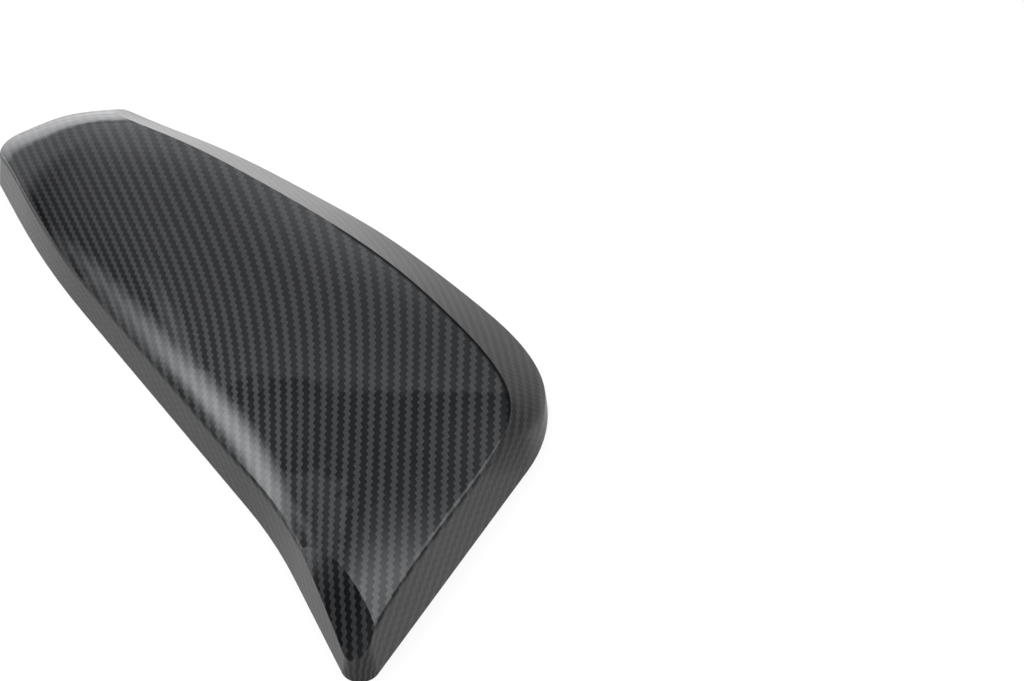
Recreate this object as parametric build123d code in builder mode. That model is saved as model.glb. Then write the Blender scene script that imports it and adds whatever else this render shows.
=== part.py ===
import math
import os

from build123d import *

# A wing mirror cover, lying on its rim with the open side down. Sizes are in millimetres.
# X runs from the blunt end to the pointed tip, Y from the long edge to the wide corner, Z up.
cover_length = 258.0
cover_width = 108.0
skin_height = 32.5
wall = 2.4
wall_draft = 8.0
fold_round = 1.6

# Rim corners before rounding: percent of the length and of the width.
tip_corner = (102.1, 0.4)
wide_corner = (72.8, 108.2)
far_edge_bend = (33.2, 80.0)
blunt_high_corner = (5.2, 45.2)
blunt_low_corner = (-1.3, 3.3)
long_edge_bulge = (21.0, -0.9)
long_edge_dip = (77.4, 7.5)

# Rounding of those corners in plan.
tip_round = 5.2
wide_round = 54.0
far_edge_round = 250.0
blunt_high_round = 13.0
blunt_low_round = 8.5
bulge_round = 380.0
dip_round = 170.0

# Cross-sections of the skin from the blunt end to the tip. Each row has the place along the length,
# then points across it: outside the long edge, fold, shoulder, crest, far band, outside the far edge.
# All are in percent: of the rim's length, of the way from the long edge to the far edge, of the height.
skin_stations = (
    (-3.8, (-18.7, -15.4), (6.1, 20.0), (20.0, 21.5), (46.6, 13.8), (84.6, -9.2), (130.7, -40.0)),
    (5.9, (-20.8, -3.1), (2.7, 36.3), (21.3, 52.9), (57.0, 70.0), (93.0, 58.5), (130.7, 38.0)),
    (18.1, (-15.0, -3.1), (3.1, 36.9), (21.5, 62.2), (62.8, 96.0), (89.2, 92.5), (121.0, 76.5)),
    (39.9, (-10.7, -6.2), (2.8, 34.8), (18.0, 62.2), (68.6, 98.0), (86.1, 94.0), (111.8, 80.5)),
    (61.8, (-9.3, -6.2), (2.5, 35.4), (16.9, 60.3), (74.0, 83.7), (86.9, 78.2), (112.5, 55.4)),
    (76.4, (-10.7, 0.0), (2.7, 37.5), (15.3, 55.1), (84.9, 64.0), (100.6, 63.1), (126.4, 55.4)),
    (87.3, (-18.8, 12.3), (3.2, 40.0), (14.7, 49.5), (108.2, 51.1), (150.4, 50.5), (196.4, 47.7)),
    (102.6, (-25.4, 21.5), (1.5, 25.5), (14.4, 27.1), (40.3, 29.2), (96.3, 29.2), (174.8, 27.7)),
)

# The band that is sliced off the far edge, along its crease from the blunt end, round the wide corner
# and out past the edge towards the tip: place along the length, share of the way from the long edge to
# the far edge, share of the height, and slope in degrees. The ends lie clear of the skin.
band_path = (
    (1.6, 54.1, 89.2, 36.0),
    (10.0, 65.7, 86.4, 36.0),
    (18.2, 66.8, 95.0, 37.0),
    (24.7, 67.6, 99.0, 38.0),
    (32.6, 68.2, 100.0, 39.0),
    (44.4, 72.6, 94.7, 39.0),
    (54.7, 75.1, 86.8, 41.0),
    (62.0, 75.8, 78.8, 42.0),
    (69.4, 80.0, 68.9, 44.0),
    (74.1, 84.1, 63.4, 48.0),
    (77.8, 87.5, 60.6, 54.0),
    (80.6, 89.7, 58.8, 60.0),
    (82.8, 90.7, 57.5, 66.0),
    (85.4, 92.2, 55.4, 71.0),
    (88.5, 99.4, 53.8, 74.0),
    (92.2, 94.4, 54.2, 76.0),
)

# How far the sliced band runs on from its crease: inwards above the skin, and outwards past the wall.
band_run_in = 14.0
band_run_out = 40.0

# The flat that is sliced off the shoulder at the tip: place along the length, a point on its crease,
# and its height above the long edge of the rim.
tip_stations = (
    (78.0, (14.0, 63.1), 37.1),
    (87.3, (14.3, 50.2), 31.0),
    (95.3, (11.4, 39.7), 25.0),
    (102.6, (14.4, 32.0), 19.8),
)

# Shares across a section where the flat at the tip ends, well past both edges.
tip_flat_ends = (-100.0, 200.0)

# Between these places the rim has both edges; sections past them take the edges there.
first_full_place = 6.0
last_full_place = 90.0

# Snap hooks and stop ribs moulded inside the rim: places round the rim as shares of its length.
hook_places = (0.06, 0.24, 0.375, 0.475, 0.575, 0.765, 0.865, 0.965)
rib_places = (0.02, 0.17, 0.43, 0.53, 0.67, 0.82, 0.92)
hook_width = 9.0
hook_thickness = 1.8
hook_setback = 8.0
hook_barb = 1.4
hook_barb_height = 3.2
hook_above_rim = 1.5
gusset_thickness = 1.4
gusset_foot = 2.0
gusset_run = 8.0
rib_thickness = 1.4
rib_reach = 3.0
rib_above_rim = 4.0


def spot(along, across):
    return along / 100.0 * cover_length, across / 100.0 * cover_width


with BuildSketch() as raw_rim:
    with BuildLine():
        FilletPolyline(
            spot(*tip_corner),
            spot(*wide_corner),
            spot(*far_edge_bend),
            spot(*blunt_high_corner),
            spot(*blunt_low_corner),
            spot(*long_edge_bulge),
            spot(*long_edge_dip),
            radius=(
                tip_round,
                wide_round,
                far_edge_round,
                blunt_high_round,
                blunt_low_round,
                bulge_round,
                dip_round,
            ),
            close=True,
        )
    make_face()
rim_box = raw_rim.sketch.bounding_box()
rim_middle = rim_box.center()
home = Plane((-rim_middle.X, -rim_middle.Y, 0))


def station(along):
    return rim_box.min.X + along / 100.0 * rim_box.size.X


def station_plane(along):
    start = (station(along) - rim_middle.X, -rim_middle.Y, 0)
    return Plane(start, x_dir=(0, 1, 0), z_dir=(1, 0, 0))


def section_points(along, shares):
    # Points of a section from shares of the way between the edges, and of the height.
    place = station(min(max(along, first_full_place), last_full_place))
    line = Edge.make_line((place, rim_box.min.Y - wall), (place, rim_box.max.Y + wall))
    edges = raw_rim.wire().intersect(line).vertices().sort_by(Axis.Y)
    near = edges[0].Y
    far = edges[-1].Y
    return [(near + across / 100.0 * (far - near), up / 100.0 * skin_height) for across, up in shares]


def lowered(points, drop):
    # Moves points down so that the sheet through them lies the drop inside the skin.
    moved = []
    for place, (across, up) in enumerate(points):
        before = points[max(place - 1, 0)]
        after = points[min(place + 1, len(points) - 1)]
        slope = (after[1] - before[1]) / (after[0] - before[0])
        moved.append((across, up - drop * math.hypot(1.0, slope)))
    return moved


def skin_sheet(drop):
    sections = []
    for along, *shares in skin_stations:
        points = section_points(along, shares)
        with BuildLine(station_plane(along)) as section:
            Spline(*lowered(points, drop))
        sections.append(section.wire())
    return Shell.make_loft(sections).face()


def band_sheet(drop):
    # Straight lines at the band's slope, each square to the crease in plan.
    crease = []
    for along, across, up, slope in band_path:
        side, height = section_points(along, [(across, up)])[0]
        crease.append(Vector(station(along) - rim_middle.X, side - rim_middle.Y, height))
    sections = []
    for place, (along, across, up, slope) in enumerate(band_path):
        run = crease[min(place + 1, len(crease) - 1)] - crease[max(place - 1, 0)]
        outward = Vector(-run.Y, run.X, 0).normalized()
        tilt = math.radians(slope)
        fall = outward * math.cos(tilt) - Vector(0, 0, math.sin(tilt))
        lift = outward * math.sin(tilt) + Vector(0, 0, math.cos(tilt))
        start = crease[place] - lift * drop
        with BuildLine() as section:
            Line(start - fall * (band_run_in / math.cos(tilt)), start + fall * band_run_out)
        sections.append(section.wire())
    return Shell.make_loft(sections).face()


def tip_sheet(drop):
    # Straight sections through the crease and a point above the long edge, run on past both edges.
    sections = []
    for along, (across, up), edge_up in tip_stations:
        slope = (up - edge_up) / across
        ends = [(share, edge_up + slope * share) for share in tip_flat_ends]
        with BuildLine(station_plane(along)) as section:
            Line(*lowered(section_points(along, ends), drop))
        sections.append(section.wire())
    return Shell.make_loft(sections).face()


def cover_body(inset, rounding):
    block_height = 2.0 * skin_height
    clear_height = 4.0 * block_height
    with BuildPart() as body:
        with BuildSketch(home):
            add(raw_rim.sketch)
            if inset > 0.0:
                offset(amount=-inset, mode=Mode.REPLACE)
        extrude(amount=block_height, taper=wall_draft)
        skin = skin_sheet(inset)
        extrude(to_extrude=skin, amount=clear_height, dir=(0, 0, 1), mode=Mode.SUBTRACT)
        if rounding > 0.0:
            fillet(faces().filter_by(GeomType.BSPLINE).edges(), rounding)
        band = band_sheet(inset)
        extrude(to_extrude=band, amount=clear_height, dir=(0, 0, 1), mode=Mode.SUBTRACT)
        tip_flat = tip_sheet(inset)
        extrude(to_extrude=tip_flat, amount=clear_height, dir=(0, 0, 1), mode=Mode.SUBTRACT)
    return body.part


outer_body = cover_body(0.0, fold_round)
inner_body = cover_body(wall, 0.0)
rim_line = (home * raw_rim.sketch).face().outer_wire()


def rim_plane(place):
    spot_on_rim = rim_line.position_at(place)
    run = rim_line.tangent_at(place)
    outward = Vector(run.Y, -run.X, 0)
    if outward.dot(spot_on_rim) < 0.0:
        outward = -outward
    along = outward.cross(Vector(0, 0, 1))
    return Plane(spot_on_rim, x_dir=outward, z_dir=along)


with BuildPart() as fixings:
    face_in = -hook_setback - hook_thickness
    for place in hook_places:
        with BuildSketch(rim_plane(place)):
            with BuildLine():
                Polyline(
                    (face_in, hook_above_rim),
                    (-hook_setback, hook_above_rim),
                    (-hook_setback + hook_barb, hook_above_rim + hook_barb_height),
                    (-hook_setback, hook_above_rim + hook_barb_height),
                    (-hook_setback, skin_height),
                    (face_in, skin_height),
                    close=True,
                )
            make_face()
        extrude(amount=hook_width / 2.0, both=True)
        with BuildSketch(rim_plane(place)):
            with BuildLine():
                Polyline(
                    (face_in + hook_thickness / 2.0, hook_above_rim + hook_barb_height),
                    (face_in + hook_thickness / 2.0, skin_height),
                    (face_in - gusset_run, skin_height),
                    (face_in - gusset_foot, hook_above_rim + 2.0 * hook_barb_height),
                    close=True,
                )
            make_face()
        extrude(amount=gusset_thickness / 2.0, both=True)
    for place in rib_places:
        with BuildSketch(rim_plane(place)):
            with BuildLine():
                Polyline(
                    (0.0, rib_above_rim),
                    (0.0, skin_height),
                    (-wall - rib_reach, skin_height),
                    (-wall - rib_reach, rib_above_rim + rib_reach),
                    (-wall, rib_above_rim),
                    close=True,
                )
            make_face()
        extrude(amount=rib_thickness / 2.0, both=True)

# The hollow inside is cut round the hooks and ribs, so they stay joined to the skin.
with BuildPart() as hollow:
    add(inner_body)
    add(fixings.part, mode=Mode.SUBTRACT)

with BuildPart() as mirror_cover:
    add(outer_body)
    add(hollow.part, mode=Mode.SUBTRACT)

os.makedirs("parts", exist_ok=True)
mirror_cover.part.label = "mirror_cover"
export_step(mirror_cover.part, "parts/mirror_cover.step")
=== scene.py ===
import math

import bmesh
import bpy
import numpy as np
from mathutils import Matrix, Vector


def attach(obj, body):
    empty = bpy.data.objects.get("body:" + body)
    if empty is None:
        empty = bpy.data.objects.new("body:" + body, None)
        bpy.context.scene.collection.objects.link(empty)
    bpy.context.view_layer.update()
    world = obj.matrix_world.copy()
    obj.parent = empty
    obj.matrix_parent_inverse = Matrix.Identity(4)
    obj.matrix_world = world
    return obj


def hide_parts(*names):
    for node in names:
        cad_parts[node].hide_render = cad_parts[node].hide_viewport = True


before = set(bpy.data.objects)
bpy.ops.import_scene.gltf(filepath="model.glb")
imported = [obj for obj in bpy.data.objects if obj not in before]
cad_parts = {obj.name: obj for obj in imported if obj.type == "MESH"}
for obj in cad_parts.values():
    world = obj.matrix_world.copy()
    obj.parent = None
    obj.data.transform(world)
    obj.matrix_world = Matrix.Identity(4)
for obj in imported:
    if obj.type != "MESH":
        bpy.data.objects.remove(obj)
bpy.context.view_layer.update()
print("frame loaded")

# The camera's heading in plan and its right hand: the print and the lights are laid out along them.
viewHeading = Vector((-0.86624, 0.49962, 0.0))
viewRight = Vector((0.49962, 0.86624, 0.0))


def addNode(tree, kind, settings, sockets):
    made = tree.nodes.new(kind)
    for name, value in settings.items():
        setattr(made, name, value)
    for name, value in sockets.items():
        if isinstance(value, Signal):
            tree.links.new(value.socket, made.inputs[name])
        else:
            made.inputs[name].default_value = value
    return made


# A socket of a shader: sums written on it add their nodes.
class Signal:
    def __init__(self, tree, socket):
        self.tree = tree
        self.socket = socket

    def node(self, kind, settings, sockets, output):
        made = addNode(self.tree, kind, settings, sockets)
        return Signal(self.tree, made.outputs[output])

    def math(self, operation, *others):
        sockets = dict(enumerate((self, *others)))
        return self.node("ShaderNodeMath", {"operation": operation}, sockets, 0)

    def __add__(self, other):
        return self.math("ADD", other)

    def __mul__(self, other):
        return self.math("MULTIPLY", other)

    def __sub__(self, other):
        return self.math("SUBTRACT", other)

    def __rsub__(self, other):
        return self * -1.0 + other

    __radd__ = __add__
    __rmul__ = __mul__

    def floor(self):
        return self.math("FLOOR")

    def fract(self):
        return self.math("FRACT")

    def size(self):
        return self.math("ABSOLUTE")

    def triangle(self):
        return self.math("PINGPONG", 1.0)

    def towards(self, goal, share):
        return self + (goal - self) * share

    def step(self, low, high):
        settings = {"interpolation_type": "SMOOTHSTEP"}
        sockets = {"Value": self, "From Min": low, "From Max": high}
        return self.node("ShaderNodeMapRange", settings, sockets, "Result")

    def blend(self, low, high):
        # 6, 7 and 2 are the colour sockets of the node: A, B and the result.
        sockets = {"Factor": self, 6: low, 7: high}
        return self.node("ShaderNodeMix", {"data_type": "RGBA"}, sockets, 2)

    def shade(self, colour):
        sockets = {0: colour, "Scale": self}
        return self.node("ShaderNodeVectorMath", {"operation": "SCALE"}, sockets, 0)

    def dot(self, direction):
        sockets = {0: self, 1: direction[:]}
        return self.node("ShaderNodeVectorMath", {"operation": "DOT_PRODUCT"}, sockets, "Value")

    def distance(self, spot):
        sockets = {0: self, 1: spot}
        return self.node("ShaderNodeVectorMath", {"operation": "DISTANCE"}, sockets, "Value")

    def noise(self, dimensions, scale, detail):
        sockets = {"Vector": self, "Scale": scale, "Detail": detail}
        return self.node("ShaderNodeTexNoise", {"noise_dimensions": dimensions}, sockets, "Fac")

    def bump(self, strength, distance):
        sockets = {"Strength": strength, "Distance": distance, "Height": self}
        return self.node("ShaderNodeBump", {}, sockets, "Normal")


def newMaterial(name):
    material = bpy.data.materials.new(name)
    material.use_nodes = True
    material.node_tree.nodes.clear()
    return material


def ownPlace(tree):
    made = addNode(tree, "ShaderNodeTexCoord", {}, {})
    return Signal(tree, made.outputs["Object"])


def setSurface(tree, shader, kind="ShaderNodeOutputMaterial"):
    addNode(tree, kind, {}, {"Surface": Signal(tree, shader.outputs[0])})


def finishMaterial(material, sockets):
    shader = addNode(material.node_tree, "ShaderNodeBsdfPrincipled", {}, sockets)
    setSurface(material.node_tree, shader)
    return material


# The printed film: light zigzag columns of metallic ink on near black, under a clear coat.
# Pitches are in metres. Widths and swings inside a column are shares of its pitch.
film = {
    "columnPitch": 0.0034,
    "zigzagPitch": 0.0025,
    "zigzagReach": 0.115,
    "lightHalf": 0.225,
    "edgeSoft": 0.025,
    "splitReach": 0.044,
    "fibresPerColumn": 14.0,
    "mottleScale": 1300.0,
    "mottleDetail": 2.0,
    "light": (0.0322, 0.0328, 0.0336, 1.0),
    "dark": (0.0027, 0.0029, 0.0033, 1.0),
    "tone": 0.62,
    "fibreTone": 0.16,
    "mottleTone": 0.66,
    "splitTone": 0.18,
    "leanTone": 0.05,
    "inkHeight": 0.7,
    "fibreHeight": 0.3,
    "bumpStrength": 0.25,
    "bumpDistance": 0.00005,
    "inkMetal": 0.62,
    "inkRough": 0.32,
    "groundRough": 0.55,
    "mottleRough": 0.06,
    "groundGloss": 0.0,
    "edgeTint": (0.38, 0.38, 0.38, 1.0),
    "coatRough": 0.025,
    "coatIor": 1.5,
    # The painted shade line along the crease: how far from the crease it fades, and the coat weight
    # on it.
    "creaseShadeLine": (0.0004, 0.0017),
    "creaseShadeCoat": 0.2,
}


def filmMaterial():
    material = newMaterial("carbonLookGloss")
    tree = material.node_tree
    mapNode = addNode(tree, "ShaderNodeUVMap", {"uv_map": "print"}, {})
    place = Signal(tree, mapNode.outputs["UV"])
    split = addNode(tree, "ShaderNodeSeparateXYZ", {}, {0: place})
    across = Signal(tree, split.outputs["X"]) * (1.0 / film["columnPitch"])
    strokes = Signal(tree, split.outputs["Y"]) * (2.0 / film["zigzagPitch"])  # two to a zigzag
    swing = strokes.triangle() * 2.0 - 1.0
    lane = across + swing * film["zigzagReach"]
    offCentre = (lane.fract() - 0.5).size()
    low = film["lightHalf"] - film["edgeSoft"]
    high = film["lightHalf"] + film["edgeSoft"]
    # The crease attribute and clear draw a painted shade line along the crease: on it the ink goes
    # dark and the coat thins.
    creaseShadeNode = addNode(tree, "ShaderNodeAttribute", {"attribute_name": "creaseShadeGap"}, {})
    clear = Signal(tree, creaseShadeNode.outputs["Fac"]).step(*film["creaseShadeLine"])
    lightMask = (1.0 - offCentre.step(low, high)) * clear
    splitMask = 1.0 - offCentre.step(0.0, film["splitReach"])
    fibre = (lane * film["fibresPerColumn"]).floor()
    single = {"noise_dimensions": "1D"}
    fibreTone = fibre.node("ShaderNodeTexWhiteNoise", single, {"W": fibre}, "Value")
    lean = strokes.fract().step(0.0, 1.0)
    mottle = place.noise("2D", film["mottleScale"], film["mottleDetail"])
    tone = film["tone"] + fibreTone * film["fibreTone"] + mottle * film["mottleTone"]
    tone = tone - splitMask * lightMask * film["splitTone"] + lean * film["leanTone"]
    height = lightMask * film["inkHeight"] + fibreTone * film["fibreHeight"]
    rough = film["groundRough"] - lightMask * (film["groundRough"] - film["inkRough"])
    sockets = {
        "Base Color": tone.shade(lightMask.blend(film["dark"], film["light"])),
        "Metallic": lightMask * film["inkMetal"],
        "Roughness": rough + mottle * film["mottleRough"],
        "Normal": height.bump(film["bumpStrength"], film["bumpDistance"]),
        "Specular IOR Level": film["groundGloss"],
        "Specular Tint": film["edgeTint"],
        # The coat thins on the painted shade line.
        "Coat Weight": film["creaseShadeCoat"] + clear * (1.0 - film["creaseShadeCoat"]),
        "Coat Roughness": film["coatRough"],
        "Coat IOR": film["coatIor"],
    }
    return finishMaterial(material, sockets)


# Bare moulded plastic on the hidden side and the rim.
plastic = {
    "base": (0.013, 0.013, 0.014, 1.0),
    "worn": (0.021, 0.021, 0.022, 1.0),
    "wornRange": (0.3, 0.7),
    "grainScale": 2600.0,
    "grainDetail": 3.0,
    "flowScale": 38.0,
    "flowDetail": 4.0,
    "rough": 0.46,
    "flowRough": 0.14,
    "grainRough": 0.05,
    "gloss": 0.45,
    "bumpStrength": 0.35,
    "bumpDistance": 0.00012,
}


def plasticMaterial():
    material = newMaterial("insidePlastic")
    place = ownPlace(material.node_tree)
    grain = place.noise("3D", plastic["grainScale"], plastic["grainDetail"])
    flow = place.noise("3D", plastic["flowScale"], plastic["flowDetail"])
    sockets = {
        "Base Color": flow.step(*plastic["wornRange"]).blend(plastic["base"], plastic["worn"]),
        "Roughness": plastic["rough"] + flow * plastic["flowRough"] + grain * plastic["grainRough"],
        "Normal": grain.bump(plastic["bumpStrength"], plastic["bumpDistance"]),
        "Specular IOR Level": plastic["gloss"],
    }
    return finishMaterial(material, sockets)


# The cover itself: a merged copy of the CAD shell with its own map for the print.
cover = {
    "node": "mirror_cover",
    "slot": "carbon_look_gloss",
    "mergeDistance": 1e-7,
    "rimSlope": -0.99,
    "rimDepth": 1e-5,
}


def outerFaces(mesh):
    # Spreads from the highest face over all the faces on this side of the flat rim.
    work = bmesh.new()
    work.from_mesh(mesh)
    rimLevel = min(vert.co.z for vert in work.verts) + cover["rimDepth"]
    rim = {
        face.index
        for face in work.faces
        if face.normal.z < cover["rimSlope"] and face.calc_center_median().z < rimLevel
    }
    start = max(work.faces, key=lambda face: face.calc_center_median().z)
    found = {start.index}
    queue = [start]
    while queue:
        face = queue.pop()
        for edge in face.edges:
            for other in edge.link_faces:
                if other.index not in found and other.index not in rim:
                    found.add(other.index)
                    queue.append(other)
    work.free()
    return found


# How the film lies: its columns turn towards the blunt end, and widen from the long edge to the
# far edge. Steep faces count for less.
drape = {
    "turn": 20.0,
    "turnRange": (0.055, -0.045),
    "evenLine": -0.017,
    "spreadTip": 1.8,
    "spreadBlunt": 8.0,
    "spreadLimits": (0.78, 1.22),
    "wallSlope": 0.45,
    "wallWeight": 0.15,
    "solveSteps": 3000,
    "solveLimit": 1e-7,
    "leastArea": 1e-14,
}


def smoothShare(values, start, end):
    share = np.clip((values - start) / (end - start), 0.0, 1.0)
    return share * share * (3.0 - 2.0 * share)


def tiltOnto(vectors, normals):
    # Leans level headings onto each face, by the shortest turn.
    lift = (vectors * normals).sum(axis=1) / (1.0 + normals[:, 2])
    return vectors - lift[:, None] * (normals + np.array((0.0, 0.0, 1.0)))


def solveLay(faces, slopes, weights, wanted, count):
    # Conjugate gradients: the map whose slope on each face comes nearest to the wanted one.
    def pull(vectors):
        held = np.zeros(count)
        for corner in range(3):
            part = weights * (slopes[corner] * vectors).sum(axis=1)
            held += np.bincount(faces[:, corner], part, minlength=count)
        return held

    def push(values):
        return sum(slopes[corner] * values[faces[:, corner], None] for corner in range(3))

    scale = np.zeros(count)
    for corner in range(3):
        part = weights * (slopes[corner] ** 2).sum(axis=1)
        scale += np.bincount(faces[:, corner], part, minlength=count)
    laid = np.zeros(count)
    rest = pull(wanted)
    first = np.linalg.norm(rest)
    ahead = rest / scale
    size = rest @ ahead
    for turn in range(drape["solveSteps"]):
        moved = pull(push(ahead))
        stride = size / (ahead @ moved)
        laid += stride * ahead
        rest -= stride * moved
        if np.linalg.norm(rest) < first * drape["solveLimit"]:
            break
        fresh = rest / scale
        newSize = rest @ fresh
        ahead = fresh + ahead * (newSize / size)
        size = newSize
    return laid


def layPrint(mesh, outer):
    layer = mesh.uv_layers.new(name="print")
    points = np.array([vert.co for vert in mesh.vertices])
    corners = np.array([polygon.vertices[:] for polygon in mesh.polygons])
    chosen = np.array(sorted(outer))
    used, packed = np.unique(corners[chosen], return_inverse=True)
    faces = packed.reshape(-1, 3)
    a, b, c = (points[corners[chosen, corner]] for corner in range(3))
    normals = np.cross(b - a, c - a)
    doubled = np.maximum(np.linalg.norm(normals, axis=1), drape["leastArea"])
    normals /= doubled[:, None]
    slopes = [np.cross(normals, edge) / doubled[:, None] for edge in (c - b, a - c, b - a)]
    middle = (a + b + c) / 3.0
    share = smoothShare(middle[:, 0], *drape["turnRange"])
    turn = share * math.radians(drape["turn"])
    heading = np.stack(
        (
            viewHeading.x * np.cos(turn) - viewHeading.y * np.sin(turn),
            viewHeading.x * np.sin(turn) + viewHeading.y * np.cos(turn),
            np.zeros(len(turn)),
        ),
        axis=1,
    )
    along = tiltOnto(heading, normals)
    across = np.cross(along, normals)
    growth = drape["spreadTip"] + (drape["spreadBlunt"] - drape["spreadTip"]) * share
    spread = np.clip(1.0 + growth * (middle[:, 1] - drape["evenLine"]), *drape["spreadLimits"])
    weights = doubled * np.where(normals[:, 2] < drape["wallSlope"], drape["wallWeight"], 1.0)
    acrossMap = solveLay(faces, slopes, weights, across / spread[:, None], len(used))
    alongMap = solveLay(faces, slopes, weights, along, len(used))
    flat = np.zeros((len(points), 2))
    flat[used] = np.stack((acrossMap, alongMap), axis=1)
    layer.uv.foreach_set("vector", flat[corners.ravel()].ravel())
    print("print laid over", len(chosen), "faces")


# Distance to the crease of the far edge, on the crowned side of it: a painted shade line is drawn
# there, dark ink under a thinner coat, which fades out at both ends of the crease.
creaseShade = {
    "crownedFrom": 0.90,
    "bandTo": 0.86,
    "clear": 0.01,
    "startFade": (-0.020, -0.006),
    "endFade": (0.076, 0.084),
    "fadeGap": 0.002,
}


def creaseEdges(mesh, outer):
    work = bmesh.new()
    work.from_mesh(mesh)
    line = []
    for edge in work.edges:
        sides = [face for face in edge.link_faces if face.index in outer]
        if len(sides) != 2:
            continue
        low, high = sorted((face.normal for face in sides), key=lambda normal: normal.z)
        farSide = low.x + low.y > 0.0  # the long edge faces the other way
        if farSide and high.z > creaseShade["crownedFrom"] and low.z < creaseShade["bandTo"]:
            line.append([list(vert.co) for vert in edge.verts])
    work.free()
    return line


def markCreaseShade(mesh, outer):
    line = creaseEdges(mesh, outer)
    starts, ends = np.array(line).transpose(1, 0, 2)
    runs = ends - starts
    shadeGaps = np.zeros(len(mesh.vertices))
    for vert in mesh.vertices:
        offset = np.array(vert.co) - starts
        share = np.clip((offset * runs).sum(axis=1) / (runs * runs).sum(axis=1), 0.0, 1.0)
        nearest = np.linalg.norm(offset - share[:, None] * runs, axis=1).min()
        started = smoothShare(vert.co.x, *creaseShade["startFade"])
        held = started * (1.0 - smoothShare(vert.co.x, *creaseShade["endFade"]))
        shadeGaps[vert.index] = nearest + (1.0 - held) * creaseShade["fadeGap"]
    layer = mesh.attributes.new("creaseShadeGap", "FLOAT", "CORNER")
    values = np.full(len(mesh.loops), creaseShade["clear"])
    for polygon in mesh.polygons:
        if polygon.index in outer and polygon.normal.z > creaseShade["crownedFrom"]:
            for loop in polygon.loop_indices:
                values[loop] = shadeGaps[mesh.loops[loop].vertex_index]
    layer.data.foreach_set("value", values)
    print("crease marked along", len(line), "edges")


# Where the band runs into the wall at the wide corner, the shading rounds the fold over.
wideCorner = {"steepFrom": 0.86, "foldAngle": 12.0, "fade": (0.045, 0.070)}


def roundCorner(mesh, outer, normals):
    around = {}
    for polygon in mesh.polygons:
        if polygon.index in outer and polygon.normal.z < wideCorner["steepFrom"]:
            for loop in polygon.loop_indices:
                around.setdefault(mesh.loops[loop].vertex_index, []).append(loop)
    sharp = math.cos(math.radians(wideCorner["foldAngle"]))
    count = 0
    for vert, loops in around.items():
        spot = mesh.vertices[vert].co
        share = smoothShare(spot.x, *wideCorner["fade"])
        own = normals[loops]
        if share == 0.0 or spot.y < 0.0 or (own @ own.T).min() > sharp:
            continue
        lowest, highest = own[own[:, 2].argmin()], own[own[:, 2].argmax()]
        middle = (lowest + highest) / np.linalg.norm(lowest + highest)
        turned = own + (middle - own) * share
        normals[loops] = turned / np.linalg.norm(turned, axis=1)[:, None]
        count += 1
    print("fold rounded at", count, "points")


def coverPiece():
    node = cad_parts[cover["node"]]
    mesh = node.data.copy()
    normals = np.zeros(len(mesh.loops) * 3)
    mesh.corner_normals.foreach_get("vector", normals)
    normals = normals.reshape(-1, 3)
    work = bmesh.new()
    work.from_mesh(mesh)
    bmesh.ops.remove_doubles(work, verts=work.verts, dist=cover["mergeDistance"])
    work.to_mesh(mesh)
    work.free()
    piece = bpy.data.objects.new("coverShell", mesh)
    bpy.context.scene.collection.objects.link(piece)
    outer = outerFaces(mesh)
    layPrint(mesh, outer)
    markCreaseShade(mesh, outer)
    mesh.materials.clear()
    mesh.materials.append(filmMaterial())
    mesh.materials.append(plasticMaterial())
    for polygon in mesh.polygons:
        polygon.material_index = 0 if polygon.index in outer else 1
        polygon.use_smooth = True
    roundCorner(mesh, outer, normals)
    mesh.normals_split_custom_set(normals)
    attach(piece, "root")
    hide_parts(cover["node"])
    print("cover faces", len(mesh.polygons), "outer", len(outer))


# The room. Its floor is white to the camera. In reflections the floor shows painted light and
# shade: it brightens with distance, is brightest past the blunt end and has a painted shadow in a
# patch beyond the far edge. The backdrop is pale, with a bright strip low down, and the camera's
# side of the room is grey.
studio = {
    "white": (1.0, 1.0, 1.0, 1.0),
    "floorHalf": 6.0,
    "floorColour": (0.92, 0.92, 0.92, 1.0),
    "floorGlow": 0.72,
    "mirrorNear": 0.70,
    "mirrorFar": 0.86,
    "mirrorAway": (-0.02, 0.22),
    "mirrorBlunt": 1.1,
    "bluntAway": (0.12, 0.23),
    "bluntRight": (-0.085, -0.005),
    "floorShade": 0.32,
    "shadeAt": (0.025, 0.118, 0.0),
    "shadeFade": (0.03, 0.155),
    "roomFront": (0.39, 0.40, 0.41, 1.0),
    "roomBack": (0.83, 0.85, 0.88, 1.0),
    "roomFade": (0.15, 0.55),
    "roomStrip": (2.6, 2.62, 2.68, 1.0),
    "stripFade": (0.19, 0.29),
}


def flatSheet(name, corners, material):
    work = bmesh.new()
    work.faces.new([work.verts.new(corner) for corner in corners])
    mesh = bpy.data.meshes.new(name)
    work.to_mesh(mesh)
    work.free()
    mesh.materials.append(material)
    sheet = bpy.data.objects.new(name, mesh)
    bpy.context.scene.collection.objects.link(sheet)
    return sheet


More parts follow.
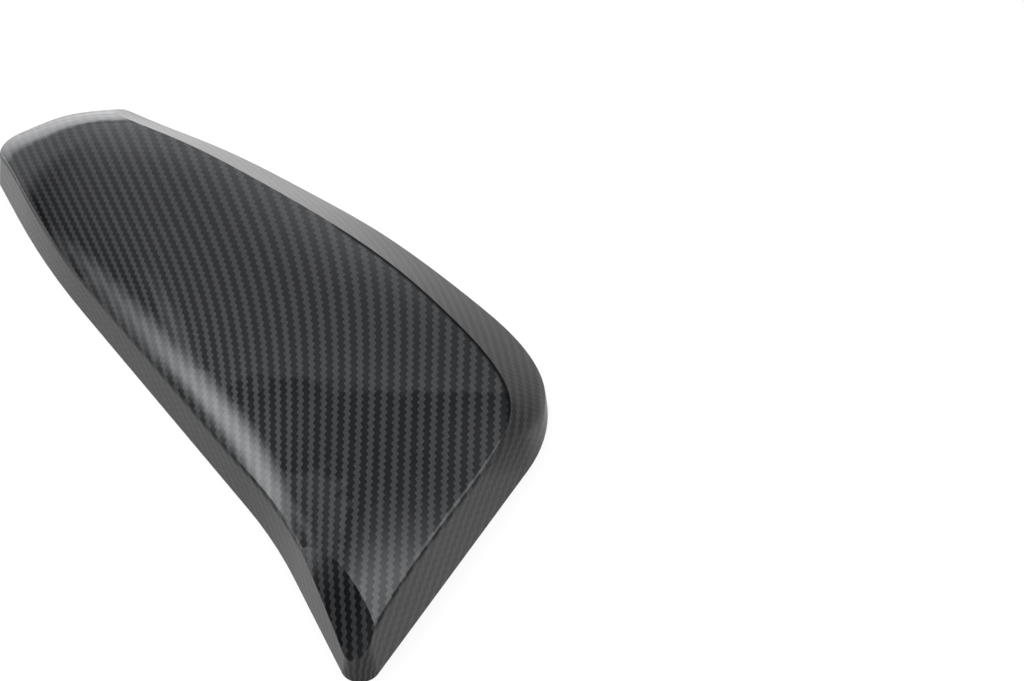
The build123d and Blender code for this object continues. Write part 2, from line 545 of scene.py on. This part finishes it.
def floorMaterial():
    material = newMaterial("studioFloor")
    tree = material.node_tree
    rays = addNode(tree, "ShaderNodeLightPath", {}, {})
    camera = Signal(tree, rays.outputs["Is Camera Ray"])
    mirror = Signal(tree, rays.outputs["Is Glossy Ray"])
    mirror = mirror.math("MAXIMUM", Signal(tree, rays.outputs["Is Transmission Ray"]))
    place = ownPlace(tree)
    away = place.dot(viewHeading)
    right = place.dot(viewRight)
    # Seen only in reflections: a painted shadow round shadeAt and painted light past the blunt end.
    lit = place.distance(studio["shadeAt"]).step(*studio["shadeFade"])
    farther = away.step(*studio["mirrorAway"]) * (studio["mirrorFar"] - studio["mirrorNear"])
    leftward = 1.0 - right.step(*studio["bluntRight"])
    blunt = away.step(*studio["bluntAway"]) * leftward * studio["mirrorBlunt"]
    gain = farther + blunt + studio["mirrorNear"] - studio["floorShade"]
    mirrored = studio["floorShade"] + lit * gain
    tone = 1.0 - mirror * (1.0 - mirrored)
    paint = addNode(tree, "ShaderNodeBsdfDiffuse", {}, {"Color": studio["floorColour"]})
    glow = addNode(tree, "ShaderNodeEmission", {}, {"Color": tone})
    sockets = {
        "Fac": camera * studio["floorGlow"] + mirror,
        1: Signal(tree, paint.outputs[0]),
        2: Signal(tree, glow.outputs[0]),
    }
    setSurface(tree, addNode(tree, "ShaderNodeMixShader", {}, sockets))
    return material


def buildFloor():
    half = studio["floorHalf"]
    corners = [(-half, -half, 0.0), (half, -half, 0.0), (half, half, 0.0), (-half, half, 0.0)]
    floor = flatSheet("studioFloor", corners, floorMaterial())


def buildRoom():
    world = bpy.data.worlds.new("studioRoom")
    bpy.context.scene.world = world
    world.use_nodes = True
    tree = world.node_tree
    tree.nodes.clear()
    rays = addNode(tree, "ShaderNodeLightPath", {}, {})
    camera = Signal(tree, rays.outputs["Is Camera Ray"])
    where = addNode(tree, "ShaderNodeTexCoord", {}, {})
    toward = Signal(tree, where.outputs["Generated"])
    split = addNode(tree, "ShaderNodeSeparateXYZ", {}, {0: toward})
    raised = Signal(tree, split.outputs["Z"]).step(*studio["stripFade"])
    backdrop = raised.blend(studio["roomStrip"], studio["roomBack"])
    facing = toward.dot(viewHeading).step(*studio["roomFade"])
    colour = facing.blend(studio["roomFront"], backdrop)
    colour = camera.blend(colour, studio["white"])
    glow = addNode(tree, "ShaderNodeBackground", {}, {"Color": colour, "Strength": 1.0})
    setSurface(tree, glow, "ShaderNodeOutputWorld")


# The scrim: a lit sheet close above the cover. Places on it are metres away from the camera and to
# its right. The key is a slanting bar of light, the foot and the spill are round spots.
scrim = {
    "height": 0.30,
    "away": (-0.45, 0.80),
    "right": (-0.85, 0.50),
    "tint": (0.985, 1.0, 1.02),
    "plain": 0.60,
    "back": 0.66,
    "backFade": (0.175, 0.358),
    "gap": 0.15,
    "gapEdge": 0.130,
    "gapTilt": 0.067,
    "gapSoft": 0.0012,
    "top": 2.2,
    "topFade": (0.021, 0.150),
    "front": 1.3,
    "frontFade": (-0.22, -0.08),
    "left": 0.28,
    "leftFade": (-0.599, -0.231),
    "leftEnd": 0.10,
    "endFade": (-0.70, -0.60),
    "corner": 0.85,
    "cornerFade": (0.33, 0.46),
    "foot": 1.2,
    "footAt": (0.05, -0.47),
    "footSize": 0.15,
    "footSqueeze": 1.6,
    "spill": 0.7,
    "spillAt": (0.155, -0.372),
    "spillSize": 0.05,
    "spillSqueeze": 1.0,
    "key": 5.6,
    "keyEdge": -0.076,
    "keyTilt": -0.518,
    "keySoft": 0.032,
    "keyNear": (-0.079, -0.039),
    "keyMiddle": -0.289,
    "keyReach": 0.452,
}


def scrimMaterial():
    material = newMaterial("studioScrim")
    tree = material.node_tree
    place = ownPlace(tree)
    away = place.dot(viewHeading)
    right = place.dot(viewRight)
    tilted = away - right * scrim["gapTilt"]
    plain = scrim["plain"] + away.step(*scrim["backFade"]) * scrim["back"]
    beyond = tilted.step(scrim["gapEdge"] - scrim["gapSoft"], scrim["gapEdge"] + scrim["gapSoft"])
    light = scrim["gap"] + (plain - scrim["gap"]) * beyond
    light = light + (1.0 - tilted.step(*scrim["topFade"])) * scrim["top"]
    light = light.towards(scrim["front"], 1.0 - away.step(*scrim["frontFade"]))
    dim = scrim["leftEnd"] + right.step(*scrim["endFade"]) * (scrim["left"] - scrim["leftEnd"])
    dim = dim.towards(scrim["corner"], away.step(*scrim["cornerFade"]))
    light = light.towards(dim, 1.0 - right.step(*scrim["leftFade"]))
    for name in ("foot", "spill"):
        spotAway, spotRight = scrim[name + "At"]
        aside = right - spotRight
        ahead = (away - spotAway) * scrim[name + "Squeeze"]
        span = (aside * aside + ahead * ahead).math("SQRT")
        light = light + (1.0 - span.step(0.0, scrim[name + "Size"])) * scrim[name]
    keyLine = away - right * scrim["keyTilt"] - scrim["keyEdge"]
    key = 1.0 - keyLine.step(-scrim["keySoft"], scrim["keySoft"])
    key = key * keyLine.step(*scrim["keyNear"])
    key = key * (1.0 - (right - scrim["keyMiddle"]).size().step(0.0, scrim["keyReach"]))
    light = light + key * scrim["key"]
    glow = addNode(tree, "ShaderNodeEmission", {}, {"Color": light.shade(scrim["tint"])})
    setSurface(tree, glow)
    return material


def buildScrim():
    corners = []
    for end, side in ((0, 0), (0, 1), (1, 1), (1, 0)):
        spot = viewHeading * scrim["away"][end] + viewRight * scrim["right"][side]
        corners.append((spot.x, spot.y, scrim["height"]))
    sheet = flatSheet("studioScrim", corners, scrimMaterial())
    sheet.visible_camera = False


# The camera, as fitted to the photograph. It looks along the heading, pitched down in degrees.
shot = {"sensor": 36.0, "lens": 91.41, "location": (0.54591, -0.24438, 0.50789), "pitch": 40.4}


def buildCamera():
    data = bpy.data.cameras.new("photoCamera")
    data.sensor_width = shot["sensor"]
    data.lens = shot["lens"]
    camera = bpy.data.objects.new("photoCamera", data)
    camera.location = shot["location"]
    pitch = math.radians(shot["pitch"])
    sight = viewHeading * math.cos(pitch) - Vector((0.0, 0.0, math.sin(pitch)))
    camera.rotation_euler = sight.to_track_quat("-Z", "Y").to_euler()
    bpy.context.scene.collection.objects.link(camera)
    bpy.context.scene.camera = camera


coverPiece()
buildFloor()
buildRoom()
buildScrim()
buildCamera()
bpy.context.scene.view_settings.view_transform = "Standard"
print("studio built")
